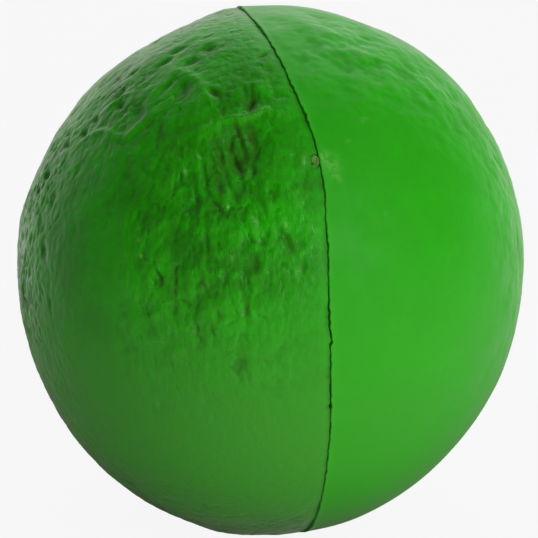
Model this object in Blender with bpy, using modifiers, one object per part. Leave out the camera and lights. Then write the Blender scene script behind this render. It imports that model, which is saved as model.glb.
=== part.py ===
"""A foam stress ball, moulded in one piece between two mould halves.

The ball is a springy foam core inside a tougher coloured skin. Each mould half forms one half of the
skin, so the two meet at a seam that runs right round the ball near the plane x = 0. A thin web of
foam creeps between the mould halves and is trimmed off below the surface, and a trimmed plug of raw
foam marks the hole that the mix was poured through.

Units are metres, +Z is up. The origin is the middle of the small flat that the ball rests on.
"""

import math

import bmesh
import bpy
from mathutils import Matrix, Vector

# ---- Driving dimensions ----
SHORT_DIAMETER = 0.065
LONG_DIAMETER = 0.0682
LONG_AXIS = Vector((0.30, 0.34, 0.89)).normalized()
REST_FLAT_WIDTH = 0.012

SKIN_THICKNESS = 0.0010
CLEARANCE = 0.0003

FLASH_WIDTH = 0.0002
FLASH_BELOW_SURFACE = 0.00035
SEAM_CLEARANCE = 0.00015

STUB_UP = 48.7
STUB_LEFT_OF_SEAM = 0.00045
STUB_WIDTH = 0.0010
STUB_LENGTH = 0.0018
STUB_BELOW_SURFACE = 0.00015
STUB_TAPER = 0.8

# The ball sagged a little in its mould. Each row is one broad flat (height under zero) or swelling:
# its name, azimuth from +X towards +Y, elevation, how far it spreads (degrees) and its height.
SAGS = (
    ("top back flat", 124, 56, 17, -0.00045),
    ("top right flat", 35, 59, 8, -0.00030),
    ("right shoulder", 12, 44, 12, 0.00022),
    ("left side flat", 179, -27, 20, -0.00035),
    ("lower front corner", 229, -63, 10, 0.00028),
    ("right side flat", -19, -9, 14, -0.00022),
    ("crown", 99, 64, 7, 0.00020),
    ("left front hollow", 243, 50, 14, -0.00035),
)

# The seam isn't quite in one plane. Each row is one bow of it: its name, how far up round the ball
# from the front it is, how far it spreads (degrees), and how far it moves the seam along +X.
SEAM_BOWS = (
    ("front drift", 5, 60, -0.00040),
    ("pour mark bow", 47, 20, 0.00115),
    ("top bow", 103, 18, -0.00125),
    ("underside bow", -60, 16, 0.00045),
)
SEAM_BOW_REACH = 0.010

AROUND_SEAM = 48
POLE_TO_POLE = 24
STUB_SIDES = 16

# ---- Colours (linear) and finishes ----
GREEN = (0.031, 0.285, 0.014, 1.0)
DEEP_GREEN = (0.012, 0.110, 0.007, 1.0)
CREAM = (0.680, 0.560, 0.330, 1.0)
TAN = (0.430, 0.330, 0.130, 1.0)

# ---- Worked out from the driving dimensions ----
SHORT_RADIUS = SHORT_DIAMETER / 2
LONG_RADIUS = LONG_DIAMETER / 2
CORE_DEPTH = SKIN_THICKNESS + CLEARANCE
FLASH_HEIGHT = CORE_DEPTH - CLEARANCE - FLASH_BELOW_SURFACE
SEAM_HALF_GAP = FLASH_WIDTH / 2 + SEAM_CLEARANCE
DOWN = Vector((0, 0, -1))


def towards(azimuth, elevation):
    """The unit vector at this azimuth and elevation, in degrees."""
    a, e = math.radians(azimuth), math.radians(elevation)
    return Vector((math.cos(a) * math.cos(e), math.sin(a) * math.cos(e), math.sin(e)))


def radius_towards(direction):
    """The outer surface's distance from the ball's middle: a slightly long ball with its sags."""
    along = direction.dot(LONG_AXIS)
    across = 1 - along**2
    radius = 1 / math.sqrt(along**2 / LONG_RADIUS**2 + across / SHORT_RADIUS**2)
    for _, azimuth, elevation, spread, height in SAGS:
        angle = math.degrees(direction.angle(towards(azimuth, elevation)))
        radius += height * math.exp(-((angle / spread) ** 2))
    return radius


def middle_height():
    """The middle's height above the rest flat, which is cut as deep as its width needs."""
    tilt = LONG_AXIS.dot(DOWN) ** 2
    lowest = math.sqrt(SHORT_RADIUS**2 + (LONG_RADIUS**2 - SHORT_RADIUS**2) * tilt)
    return lowest - REST_FLAT_WIDTH**2 / (8 * SHORT_RADIUS)


MIDDLE = Vector((0, 0, middle_height()))


def surface_point(direction, depth):
    """The point this deep under the outside, or on the rest flat where that is nearer the middle."""
    reach = radius_towards(direction) - depth
    if direction.z < 0:
        reach = min(reach, (MIDDLE.z - depth) / -direction.z)
    return MIDDLE + direction * reach


def seam_offset(up):
    """How far the seam lies to the +X side of x = 0, up degrees round the ball from its front."""
    around = [(up - place + 180) % 360 - 180 for _, place, _, _ in SEAM_BOWS]
    return sum(
        height * math.exp(-((a / spread) ** 2))
        for a, (_, _, spread, height) in zip(around, SEAM_BOWS)
    )


def slid_with_seam(direction):
    """The direction that this one moves to when the seam takes its bows. The surface doesn't change."""
    up = math.degrees(math.atan2(direction.z, -direction.y))
    x = direction.x * SHORT_RADIUS
    x += seam_offset(up) * math.exp(-((x / SEAM_BOW_REACH) ** 2))
    return Vector((x / SHORT_RADIUS, direction.y, direction.z)).normalized()


def clear_scene():
    for obj in list(bpy.data.objects):
        bpy.data.objects.remove(obj, do_unlink=True)
    for collection in list(bpy.data.collections):
        bpy.data.collections.remove(collection)


def new_collection(name):
    collection = bpy.data.collections.new(name)
    bpy.context.scene.collection.children.link(collection)
    return collection


def new_material(name, colour, roughness):
    material = bpy.data.materials.new(name)
    material.use_nodes = True
    shader = material.node_tree.nodes["Principled BSDF"]
    shader.inputs["Base Color"].default_value = colour
    shader.inputs["Roughness"].default_value = roughness
    shader.inputs["Metallic"].default_value = 0.0
    material.diffuse_color = colour
    return material


def trim(bm, point, outwards, fill):
    """Cuts away what lies past a plane. fill closes the cut with one flat face."""
    geometry = bm.verts[:] + bm.edges[:] + bm.faces[:]
    cut = bmesh.ops.bisect_plane(
        bm, geom=geometry, dist=1e-7, plane_co=point, plane_no=outwards, clear_outer=True
    )
    if fill:
        rim = [e for e in cut["geom_cut"] if isinstance(e, bmesh.types.BMEdge)]
        bmesh.ops.contextual_create(bm, geom=rim)
        bmesh.ops.recalc_face_normals(bm, faces=bm.faces[:])


def ball_surface(depth):
    """The closed surface that lies this deep under the ball's outside, its rest flat included."""
    bm = bmesh.new()
    poles_on_x = Matrix.Rotation(math.pi / 2, 4, "Y")
    bmesh.ops.create_uvsphere(
        bm, u_segments=AROUND_SEAM, v_segments=POLE_TO_POLE, radius=1, matrix=poles_on_x
    )
    for vertex in bm.verts:
        direction = vertex.co.normalized()
        vertex.co = MIDDLE + direction * (radius_towards(direction) - depth)
    trim(bm, Vector((0, 0, depth)), DOWN, fill=True)
    return bm


def bow_seam(bm, depth):
    """Slides a trimmed surface along itself, so that its straight edges follow the seam's bows."""
    for vertex in bm.verts:
        on_rest_flat = abs(vertex.co.z - depth) < 1e-6
        if not on_rest_flat:
            direction = slid_with_seam((vertex.co - MIDDLE).normalized())
            vertex.co = surface_point(direction, depth)


def new_object(name, bm, collection, material=None):
    mesh = bpy.data.meshes.new(name)
    bm.to_mesh(mesh)
    bm.free()
    obj = bpy.data.objects.new(name, mesh)
    collection.objects.link(obj)
    if material:
        mesh.materials.append(material)
        mesh.shade_smooth()
        mesh.set_sharp_from_angle(angle=math.radians(30))
    return obj


def add_wall(obj, thickness):
    """Gives an open surface its wall, grown inwards from the outside."""
    wall = obj.modifiers.new("Wall", "SOLIDIFY")
    wall.thickness = thickness
    wall.offset = -1
    wall.use_even_offset = True


def cut_with(obj, cutter):
    cut = obj.modifiers.new("Pour notch", "BOOLEAN")
    cut.operation = "DIFFERENCE"
    cut.object = cutter


def make_core(parts):
    bm = ball_surface(CORE_DEPTH)
    return new_object("foam_core", bm, parts, new_material("foam_core", CREAM, 0.95))


def make_skin(parts, name, side, notch):
    """One half of the skin: side is -1 for the left half and +1 for the right half."""
    bm = ball_surface(0)
    trim(bm, Vector((side * SEAM_HALF_GAP, 0, 0)), Vector((-side, 0, 0)), fill=False)
    bow_seam(bm, 0)
    skin = new_object(name, bm, parts, new_material(name, GREEN, 0.45))
    add_wall(skin, SKIN_THICKNESS)
    cut_with(skin, notch)
    return skin


def make_flash(parts, notch):
    bm = ball_surface(FLASH_BELOW_SURFACE)
    for side in (-1, 1):
        trim(bm, Vector((side * FLASH_WIDTH / 2, 0, 0)), Vector((side, 0, 0)), fill=False)
    bow_seam(bm, FLASH_BELOW_SURFACE)
    flash = new_object("parting_flash", bm, parts, new_material("parting_flash", DEEP_GREEN, 0.8))
    add_wall(flash, FLASH_HEIGHT)
    cut_with(flash, notch)
    return flash


def plug_at_pour_hole(margin, top, bottom):
    """A tapered oval plug on the seam, from depth top to depth bottom, margin wider than the stub."""
    bm = bmesh.new()
    bmesh.ops.create_cone(
        bm,
        cap_ends=True,
        segments=STUB_SIDES,
        radius1=STUB_TAPER,
        radius2=1,
        depth=bottom - top,
    )
    width = Matrix.Scale(STUB_WIDTH / 2 + margin, 4, (1, 0, 0))
    length = Matrix.Scale(STUB_LENGTH / 2 + margin, 4, (0, 1, 0))
    up = math.radians(STUB_UP)
    x = seam_offset(STUB_UP) - STUB_LEFT_OF_SEAM
    direction = Vector((x / SHORT_RADIUS, -math.cos(up), math.sin(up))).normalized()
    outwards = direction.to_track_quat("Z", "X").to_matrix().to_4x4()
    turn = Matrix.Rotation(math.pi / 2, 4, "Z")
    place = Matrix.Translation(surface_point(direction, (top + bottom) / 2))
    bmesh.ops.transform(bm, matrix=place @ outwards @ turn @ width @ length, verts=bm.verts[:])
    return bm


def make_notch(cutters):
    """The cutter for the notch in the skin and the flash that the stub sits in."""
    bm = plug_at_pour_hole(CLEARANCE, -SKIN_THICKNESS, CORE_DEPTH + CLEARANCE)
    notch = new_object("pour_notch_cutter", bm, cutters)
    notch.hide_render = True
    notch.display_type = "WIRE"
    return notch


def make_stub(parts):
    bm = plug_at_pour_hole(0, STUB_BELOW_SURFACE, SKIN_THICKNESS)
    return new_object("pour_stub", bm, parts, new_material("pour_stub", TAN, 0.95))


def main():
    clear_scene()
    parts = new_collection("Stress ball")
    cutters = new_collection("Cutters")
    notch = make_notch(cutters)
    make_core(parts)
    make_skin(parts, "left_skin", -1, notch)
    make_skin(parts, "right_skin", 1, notch)
    make_flash(parts, notch)
    make_stub(parts)


main()
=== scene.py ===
# %% [markdown]
# # A foam stress ball, step by step
# The ball is one moulding of springy polyurethane foam. The mould's two halves were sprayed with
# green before the mix was poured in, so the foam comes out with a coloured skin that has a seam
# all round. While it cured, the skin on one half shrank and puckered, and the other half stayed
# nearly smooth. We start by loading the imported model, which fixes where every piece goes.

# %% Load the frame
import math

import bmesh
import bpy
import numpy as np
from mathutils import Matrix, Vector


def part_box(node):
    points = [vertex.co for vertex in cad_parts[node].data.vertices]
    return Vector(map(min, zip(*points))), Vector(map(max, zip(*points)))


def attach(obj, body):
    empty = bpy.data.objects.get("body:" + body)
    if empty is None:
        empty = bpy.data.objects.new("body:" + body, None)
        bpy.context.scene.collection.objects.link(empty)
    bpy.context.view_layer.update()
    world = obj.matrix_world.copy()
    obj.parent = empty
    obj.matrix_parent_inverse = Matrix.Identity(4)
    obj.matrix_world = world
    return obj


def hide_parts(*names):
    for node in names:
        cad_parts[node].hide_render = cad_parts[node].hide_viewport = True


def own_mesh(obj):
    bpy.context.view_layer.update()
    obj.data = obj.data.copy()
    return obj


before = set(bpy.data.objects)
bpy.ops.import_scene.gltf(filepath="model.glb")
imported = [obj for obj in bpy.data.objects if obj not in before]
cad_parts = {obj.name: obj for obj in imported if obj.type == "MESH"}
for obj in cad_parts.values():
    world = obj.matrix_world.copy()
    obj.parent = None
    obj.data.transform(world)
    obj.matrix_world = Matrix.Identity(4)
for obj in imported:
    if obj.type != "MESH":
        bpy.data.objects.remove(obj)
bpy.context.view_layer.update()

MM = 0.001

# %% [markdown]
# ## The shape of the ball
# A soft ball is never quite a sphere. This one is 5% longer one way than the other, and it sagged
# a little in its mould, so it has broad flats and swellings. We describe the outside as a rule:
# how far the surface is from the middle in any direction. Each piece asks the same rule, so skin,
# foam and seam always agree.

# %% The outside as a rule
SHORT_RADIUS = 0.0325
LONG_RADIUS = 0.0341
LONG_AXIS = np.array((0.30, 0.34, 0.89))
LONG_AXIS /= np.linalg.norm(LONG_AXIS)
REST_FLAT_WIDTH = 0.012
SKIN_THICKNESS = 0.0010

# name, azimuth from +X towards +Y, elevation, spread (degrees), height (mm)
SAGS = (
    ("top back flat", 124, 56, 17, -0.45),
    ("top right flat", 35, 59, 8, -0.30),
    ("right shoulder", 12, 44, 12, 0.22),
    ("left side flat", 179, -27, 20, -0.35),
    ("lower front corner", 229, -63, 10, 0.28),
    ("right side flat", -19, -9, 14, -0.22),
    ("crown", 99, 64, 6, 0.38),
    ("left front hollow", 243, 50, 14, -0.35),
    ("under the brow", 245, 50.8, 6.6, -1.20),
    ("left end swelling", 161, 11, 9, 0.34),
    ("behind the shoulder", 141, 42, 6, 0.16),
    ("lower left flat", 215, -59, 6, -0.28),
    ("far left flat", 190, -44, 8, -0.12),
    ("lower right flat", -34, -38, 13, -0.19),
    ("low front swelling", 292, -61, 8, 0.14),
)


def towards(azimuth, elevation):
    a, e = math.radians(azimuth), math.radians(elevation)
    return np.array((math.cos(a) * math.cos(e), math.sin(a) * math.cos(e), math.sin(e)))


def radius_towards(directions):
    """The outside's distance from the middle in each direction."""
    along = directions @ LONG_AXIS
    radius = 1 / np.sqrt(along**2 / LONG_RADIUS**2 + (1 - along**2) / SHORT_RADIUS**2)
    for _, azimuth, elevation, spread, height in SAGS:
        facing = np.clip(directions @ towards(azimuth, elevation), -1, 1)
        radius += height * MM * np.exp(-((np.degrees(np.arccos(facing)) / spread) ** 2))
    return radius


tilt = LONG_AXIS[2] ** 2
lowest = math.sqrt(SHORT_RADIUS**2 + (LONG_RADIUS**2 - SHORT_RADIUS**2) * tilt)
MIDDLE = np.array((0, 0, lowest - REST_FLAT_WIDTH**2 / (8 * SHORT_RADIUS)))

# %% [markdown]
# ## Places on the ball
# Two angles name every place, as on a globe that lies on its side. "Across" runs from the seam (0)
# to the end of the left half (-90) or the right half (90). "Up" runs round the seam from the front
# (0) over the top (90) to the back (180). The flat that the ball rests on cuts the globe off.

# %% From angles to points
ALMOST_LEVEL = 1e-9


def on_ring(x, ring, up):
    """Unit vectors with this x, on a ring of this radius, up radians round the ball."""
    return np.stack((x, -ring * np.cos(up), ring * np.sin(up)), axis=-1)


def direction_at(across, up):
    """Unit vectors at these angles, in radians."""
    return on_ring(np.sin(across), np.cos(across), up)


def surface_points(directions, depth):
    """The points this deep under the outside, held above the rest flat."""
    reach = radius_towards(directions) - depth
    down = np.minimum(directions[..., 2], -ALMOST_LEVEL)
    reach = np.minimum(reach, (MIDDLE[2] - depth) / -down)
    return MIDDLE + directions * reach[..., None]


def place(across, up):
    """One point on the outside, with its angles in degrees."""
    return surface_points(direction_at(math.radians(across), math.radians(up)), 0)


def tangents(across, up):
    """The unit vectors sideways and upwards along the surface, at angles in degrees."""
    a, u = math.radians(across), math.radians(up)
    sideways = np.array((math.cos(a), math.sin(a) * math.cos(u), -math.sin(a) * math.sin(u)))
    return sideways, np.array((0, math.sin(u), math.cos(u)))


print("front", place(0, 0), "top", place(0, 90))

# %% [markdown]
# ## The seam line
# Where the mould halves met, the seam wanders: the two halves of the mould were hand trimmed. We
# write down how far the seam lies to the right of the middle plane at some angles round the ball,
# and blend between them. Small ripples and chips are added to the gap itself.

# %% The seam line and its gap
# degrees up, millimetres to the right
SEAM_LINE = (
    (-75, 0.20), (-62, 0.16), (-54, 0.06), (-44, -0.15), (-36, -0.31), (-29, -0.42), (-21, -0.50),
    (-14, -0.50), (-8, -0.61), (-1, -0.68), (5, -0.62), (7.2, -0.63), (7.9, -0.44), (9.6, -0.44),
    (10.4, -0.60), (15, -0.57), (18, -0.48), (22, -0.31), (25, -0.17), (28, 0.03), (34, 0.15),
    (36, 0.25), (39, 0.50), (41, 0.63), (45, 0.66), (51, 0.60), (54.5, 0.55), (57, 0.34),
    (61, 0.14), (64, -0.17), (67, -0.33), (69, -0.55), (73, -0.64), (78, -0.90), (84, -1.13),
    (90, -1.30), (98, -1.50), (106, -1.20), (116, -0.75), (130, -0.25), (150, 0.10), (180, 0.0),
    (215, -0.20), (250, 0.15),
)
SEAM_REACH = 10 * MM
RAGGED = 0.045
# a full turn in radians, near enough for random waves and crumbs
TURN = 6.28


def ripple(up, seed, lowest, highest):
    """Wavy noise from about -1 to 1 that closes on itself after a full turn."""
    random = np.random.default_rng(seed)
    waves = np.unique(random.integers(lowest, highest, 40))
    total = sum(np.sin(k * up + random.uniform(0, TURN)) for k in waves)
    return total / math.sqrt(len(waves))


def seam_offset(up):
    """How far the seam lies to the right of the middle plane."""
    ups, offsets = np.array(SEAM_LINE).T
    offsets = np.interp(np.degrees(up), ups, offsets, period=360)
    return (offsets + RAGGED * ripple(up, 21, 60, 190)) * MM


# name, degrees up, spread in degrees, extra half width in millimetres
SEAM_CHIPS = (
    ("step above", 9.8, 0.35, 0.10),
    ("step below", 7.4, 0.35, 0.12),
    ("torn bite", -7.6, 0.55, 0.17),
    ("worn lower run", -4.0, 2.5, 0.05),
    ("wide under the crown", 72, 4.0, 0.02),
    ("wide middle run", 14, 4.5, 0.05),
    ("fine lower run", -38, 9.0, -0.03),
    ("fine by the pour mark", 41, 4.0, -0.03),
)
# millimetres: the usual half width, how much slow and quick waves add, and the least it can be
HALF_GAP, SLOW, QUICK, LEAST_GAP = 0.040, 0.020, 0.018, 0.025


def half_gap(up):
    """Half the width of the seam's gap."""
    gap = HALF_GAP + SLOW * ripple(up, 3, 20, 90) + QUICK * ripple(up, 4, 120, 260)
    degrees = np.degrees(up)
    for _, where, spread, extra in SEAM_CHIPS:
        around = (degrees - where + 180) % 360 - 180
        gap = gap + extra * np.exp(-((around / spread) ** 2))
    return np.maximum(gap, LEAST_GAP) * MM


gaps = 2 * half_gap(np.radians(np.arange(0, 360, 0.5))) / MM
print("seam gap, mm:", round(gaps.min(), 2), "to", round(gaps.max(), 2))

# %% [markdown]
# ## A shell of rings
# A skin half is a closed shell: an outside, an inside one skin thickness deeper, and a rolled edge
# at the seam. We lay it out in rings that run round from the seam to the end of the half. Dents
# need points every 0.3 mm, but near the end the rings get short, so each time a ring is short
# enough the number of points halves.

# %% Rings for one skin half
# points in a full ring, and the step between rings
FINE, SMOOTH = (1024, 0.24 * MM), (768, 0.30 * MM)
# the rolled edge, from inside to outside: arc from the seam, depth (mm)
EDGE = (
    (0, 1.0), (0, 0.6), (0, 0.3), (0, 0.12), (0.02, 0.05), (0.06, 0.015), (0.12, 0), (0.22, 0),
    (0.36, 0), (0.54, 0), (0.76, 0), (1.0, 0),
)
# how far along the quarter turn each stretch of the outside ends, and its share of the points
STRETCHES = ((0.47, 1), (0.76, 2), (0.91, 4), (0.985, 8))
QUARTER = SHORT_RADIUS * math.pi / 2
INSIDE_END, INSIDE_STEP = 0.94 * QUARTER, 2.5 * MM


def arcs(start, end, step):
    count = max(1, round((end - start) / step))
    return [start + (end - start) * i / count for i in range(1, count + 1)]


def skin_rings(full, step):
    """(arc from the seam, depth, points) of each ring, from the inside's end to the outside's."""
    inner = [(0.4 * MM, SKIN_THICKNESS, full // 2), (1.5 * MM, SKIN_THICKNESS, full // 4)]
    inner += [(a, SKIN_THICKNESS, full // 8) for a in arcs(4 * MM, INSIDE_END, INSIDE_STEP)]
    rings = inner[::-1] + [(a * MM, d * MM, full) for a, d in EDGE]
    start = EDGE[-1][0] * MM
    for end, share in STRETCHES:
        rings += [(a, 0.0, full // share) for a in arcs(start, end * QUARTER, step)]
        start = end * QUARTER
    return rings


def stitch(rings, poles):
    """Faces between rings of points. A ring may have half or twice as many as the one before."""
    faces, starts = [], [sum(rings[:i]) for i in range(len(rings) + 1)]
    for a, b, m, n in zip(starts, starts[1:], rings, rings[1:]):
        if m == n:
            faces += [(a + j, a + (j + 1) % m, b + (j + 1) % n, b + j) for j in range(m)]
            continue
        many, few, count = (a, b, n) if m > n else (b, a, m)
        for j in range(count):
            f0, f1, f2 = many + 2 * j, many + 2 * j + 1, many + (2 * j + 2) % (2 * count)
            c0, c1 = few + j, few + (j + 1) % count
            for face in ((f0, f1, c0), (f1, c1, c0), (f1, f2, c1)):
                faces.append(face[::-1] if m < n else face)
    for pole, (at, turned) in enumerate(poles, starts[-1]):
        for j in range(rings[at]):
            face = (starts[at] + j, starts[at] + (j + 1) % rings[at], pole)
            faces.append(face[::-1] if turned else face)
    return faces


RINGS = skin_rings(*FINE)
print("rings in the left half:", len(RINGS), "points:", sum(ring[2] for ring in RINGS))

# %% [markdown]
# ## Where the dents are
# The puckering isn't even. On the left half it is strongest at the front and under the brow, and
# weak on the lower front and beside the seam. A net of fine ridges covers the far side and the
# shoulder. The right half is only puckered near the top and at the side. Each row below adds to or
# takes from the strength over a soft patch of the ball.

# %% Patches of dents
# name, across, up, spread across, spread up (degrees), strength
LEFT_DENTS = (
    ("front", -22, 38, 15, 24, 0.82),
    ("brow", -16, 63, 14, 9, 0.35),
    ("front left", -42, 23, 9, 15, 0.42),
    ("top", -30, 86, 17, 16, 0.12),
    ("far side", -78, 35, 13, 70, -0.10),
    ("smooth belly", -56, 20, 10, 30, -0.40),
    ("smooth lower front", -25, -22, 34, 24, -0.38),
    ("smooth beside the seam", -4, 5, 6, 26, -0.25),
    ("smooth by the crown", -4, 82, 6, 12, -0.25),
)
RIGHT_DENTS = (
    ("top", 15, 80, 20, 16, 0.85),
    ("upper side", 40, 70, 16, 14, 0.40),
    ("side", 58, 42, 12, 40, 0.45),
    ("far end", 80, 200, 30, 90, 0.15),
)
LEFT_NET = (
    ("far side", -84, 45, 11, 60, 0.75),
    ("shoulder", -53, 101, 12, 13, 0.75),
    ("behind the shoulder", -67, 106, 11, 20, 0.60),
    ("front", -24, 40, 18, 30, 0.12),
)
RIGHT_NET = (("far side", 62, 40, 14, 60, 0.28), ("top", 20, 84, 18, 14, 0.10))
# for each side: the dents' base and patches, then the net's
PATCHES = {-1: (0.45, LEFT_DENTS, 0.1, LEFT_NET), 1: (0.05, RIGHT_DENTS, 0.0, RIGHT_NET)}
STRONGEST = 1.3


def patches(across, up, base, rows):
    """The strength at these angles, in degrees: the base plus every soft patch."""
    total = np.full(across.shape, float(base))
    for _, a, u, spread_a, spread_u, strength in rows:
        round_the_ball = ((up - u + 180) % 360 - 180) * np.cos(np.radians(across))
        total += strength * np.exp(
            -(((across - a) / spread_a) ** 2) - (round_the_ball / spread_u) ** 2
        )
    return np.clip(total, 0, STRONGEST)


front = patches(np.array([-22.0]), np.array([36.0]), *PATCHES[-1][:2])
print("dents at the front of the left half:", front)

# %% [markdown]
# ## Creases and pits that stand out
# Some marks are too big to leave to chance: the ridge like a brow over the front, the ridge on the
# shoulder, and a few dozen deep pits. A ridge follows a few points. Pits, broad forms, stains, and
# rubbed marks with painted glints, are all ovals, given by their place, half length, half width and
# turn from upright.

# %% Ridges, pits and stains
# the points it runs through (across, up), width (mm), height (mm): the brow, the shoulder, the
# cheek, the fold on the shoulder and the one under the brow
RIDGES = (
    (((-18.9, 63.6), (-15.7, 63.5), (-13.6, 62.5), (-11.3, 62.6), (-7.5, 63.4)), 0.42, 0.48),
    (((-51.1, 88), (-47.3, 85.8), (-43.4, 81.7), (-42.3, 77.3), (-39.4, 72.2), (-36.7, 73.2),
      (-33.9, 74.5)), 0.42, 0.26),
    (((-24.1, 87), (-22.7, 82.9), (-20.3, 78.8), (-19.5, 74.5), (-18.7, 70)), 0.9, 0.34),
    (((-42, 90), (-37.8, 89.4), (-36.4, 89.2), (-33.8, 87.1)), 0.4, 0.2),
    (((-14.5, 58), (-13.2, 56), (-12.8, 54)), 0.35, 0.14),
)
# across, up, half length, half width (mm), turn (degrees), depth (mm): the brow, the long folds
# under it, the crown, the shoulder and the rim
PITS = (
    (-10.6, 65.8, 1.0, 0.5, 30, 0.84), (-9.8, 69.3, 1.0, 0.28, 20, 0.28),
    (-4.4, 79.3, 0.9, 0.28, 60, 0.28), (-17.6, 71.7, 1.0, 0.45, -30, 0.28),
    (-26.2, 80.9, 1.2, 0.45, 70, 0.24), (-12, 56.4, 1.9, 0.42, 4, 0.36),
    (-16.7, 53.5, 1.6, 0.9, 0, 0.32), (-27.2, 53, 1.8, 1.0, 10, 0.24),
    (-22.6, 52.7, 1.0, 0.4, 15, 0.3), (-23, 42.2, 1.7, 0.32, -25, 0.3),
    (-21.8, 47.1, 1.3, 0.45, 5, 0.28), (-9, 31.6, 1.7, 0.4, -20, 0.32),
    (-5.8, 25.2, 1.0, 0.32, 10, 0.26), (-16.5, 26.4, 1.1, 0.45, -10, 0.3),
    (-23.2, 24.6, 1.0, 0.42, 20, 0.28), (-19.2, 16.2, 1.6, 0.34, 2, 0.36),
    (-35.7, 16.8, 1.0, 0.38, 20, 0.28), (-38.5, 25.6, 1.1, 0.5, -15, 0.3),
    (-30.5, 18.2, 0.9, 0.35, 10, 0.24), (-25.6, 15.8, 0.8, 0.35, -10, 0.24),
    (-15, 58.5, 2.0, 0.34, -3, 0.36), (-17.3, 53, 2.4, 0.38, -8, 0.48),
    (-20.3, 54.5, 2.2, 0.34, -6, 0.34), (-13.6, 49.5, 1.6, 0.34, 5, 0.26),
    (-24.6, 50.5, 2.6, 0.38, 5, 0.34), (-19, 44.5, 2.0, 0.34, -15, 0.3),
    (-27.6, 45, 2.2, 0.36, 8, 0.3), (-13, 39.5, 1.4, 0.32, -12, 0.26),
    (-26.5, 33.5, 2.2, 0.36, 0, 0.3), (-17.7, 71.2, 1.0, 0.4, -20, 0.32),
    (-11.1, 69.4, 0.9, 0.34, 10, 0.32), (-21, 93.2, 0.7, 1.1, 0, 0.3),
    (-14.8, 87.5, 0.7, 1.0, 10, 0.26), (-24.6, 91.1, 0.6, 1.0, 0, 0.3),
    (-19.6, 85.3, 0.6, 1.1, -10, 0.24), (-23.5, 77, 1.6, 0.7, 20, 0.36),
    (-34.5, 77.5, 1.2, 0.8, 10, 0.32), (-37.9, 85.6, 0.8, 0.6, 0, 0.36),
    (-48.3, 90.1, 0.7, 0.5, 0, 0.36), (-44.4, 90.6, 0.6, 0.5, 0, 0.36),
    (-53.3, 96.3, 0.8, 0.6, 0, 0.4), (-61.7, 100.9, 0.7, 0.7, 0, 0.4),
    (-65.8, 106.7, 0.7, 0.8, 0, 0.4), (-72.7, 59.6, 0.9, 0.7, 0, 0.32),
)
# broad forms under the pits: the same columns, with a height instead of a depth
FORMS = (
    (-7.5, 44, 6.0, 2.6, 0, 0.3), (-29, 50, 6.0, 3.0, 5, -0.25), (-24, 33, 5.0, 3.5, 0, 0.25),
    (-33, 21, 3.0, 4.0, 0, -0.2), (-20, 70, 2.5, 5.0, 0, 0.3),
)
# brown stains in the deepest creases, then paler marks, partly rubbed paint and partly painted
# glints: the same, ending in a strength
STAINS = (
    (-12.4, 57.3, 2.6, 0.45, 3, 0.9), (-14.9, 60.6, 1.3, 0.35, 0, 0.9),
    (-10.6, 65.8, 1.1, 0.5, 30, 1.0), (-17, 53.5, 2.6, 0.55, -8, 0.8),
    (-14.6, 52, 2.2, 0.45, 4, 0.7), (-20.5, 54.5, 1.9, 0.45, -6, 0.6),
    (-15.5, 55, 3.6, 2.4, 10, 0.3), (-17.6, 71.4, 1.0, 0.45, 0, 0.7), (-17, 65.5, 0.6, 0.4, 0, 0.8),
    (-21.8, 47.5, 2.2, 0.5, 0, 0.7), (-23, 42.2, 1.5, 0.4, -25, 0.6),
    (-4.6, 79.1, 0.7, 0.25, 60, 0.9), (-35.5, 22, 1.8, 0.7, 5, 0.7), (-28.5, 24, 1.6, 0.5, 10, 0.6),
    (-9.6, 82.6, 0.4, 0.3, 0, 0.7), (-19.2, 16.5, 1.6, 0.4, 0, 0.45),
    (-16.5, 26, 1.4, 0.5, -15, 0.6), (-9, 31.6, 1.6, 0.4, -20, 0.6), (-30, 60, 3.0, 1.2, 20, 0.4),
    (-1.6, -0.4, 0.3, 0.25, 0, 1.0), (-25.5, 15.5, 1.0, 0.4, 0, 0.5),
    (-38.5, 25.6, 1.2, 0.5, -15, 0.5),
)
SCUFFS_AND_GLINTS = (
    (-28.5, 53.8, 0.6, 0.2, 15, 1.0), (-24.7, 56, 0.5, 0.2, -20, 0.6),
    (-20.5, 63.5, 0.5, 0.2, 60, 0.6), (-13.6, 57.6, 0.9, 0.16, 0, 0.7), (-2, 49, 0.8, 0.3, 10, 0.8),
    (-15.2, 36.7, 0.7, 0.25, -20, 0.9), (-8.6, 35, 0.5, 0.3, 0, 0.7),
    (-21.1, 29.3, 0.6, 0.2, 10, 0.6), (-42.2, 38.5, 0.3, 0.3, 0, 0.6),
    (-42.5, 33.4, 0.3, 0.25, 0, 0.5), (-7.3, 24.1, 0.6, 0.25, 30, 0.7),
    (-31.1, 11.7, 0.6, 0.2, 10, 0.6), (3.9, 47, 1.6, 1.0, 15, 0.45), (2.4, 49.2, 0.9, 0.6, 0, 0.7),
    (4.6, 44.5, 1.3, 0.35, -20, 0.35), (13.5, 58.2, 0.5, 0.3, 60, 0.45),
    (8.6, 52.5, 0.4, 0.3, 0, 0.4), (14.5, 35.4, 0.3, 0.25, 0, 0.3),
)
OVAL_LIMIT = 14 * MM


def oval(points, row):
    """1 in the middle of an oval mark, falling softly to 0 outside it."""
    across, up, half_length, half_width, turn, _ = row
    t = math.radians(turn)
    sideways, upwards = tangents(across, up)
    offset = points - place(across, up)
    along = offset @ (upwards * math.cos(t) + sideways * math.sin(t))
    beside = offset @ (sideways * math.cos(t) - upwards * math.sin(t))
    near = np.linalg.norm(offset, axis=-1) < OVAL_LIMIT
    reach = (along / (half_length * MM)) ** 2 + (beside / (half_width * MM)) ** 2
    return np.where(near, np.exp(-reach), 0)


def ovals(points, rows):
    """All the ovals in a table, each times its last number."""
    return sum(row[5] * oval(points, row) for row in rows)


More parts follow.
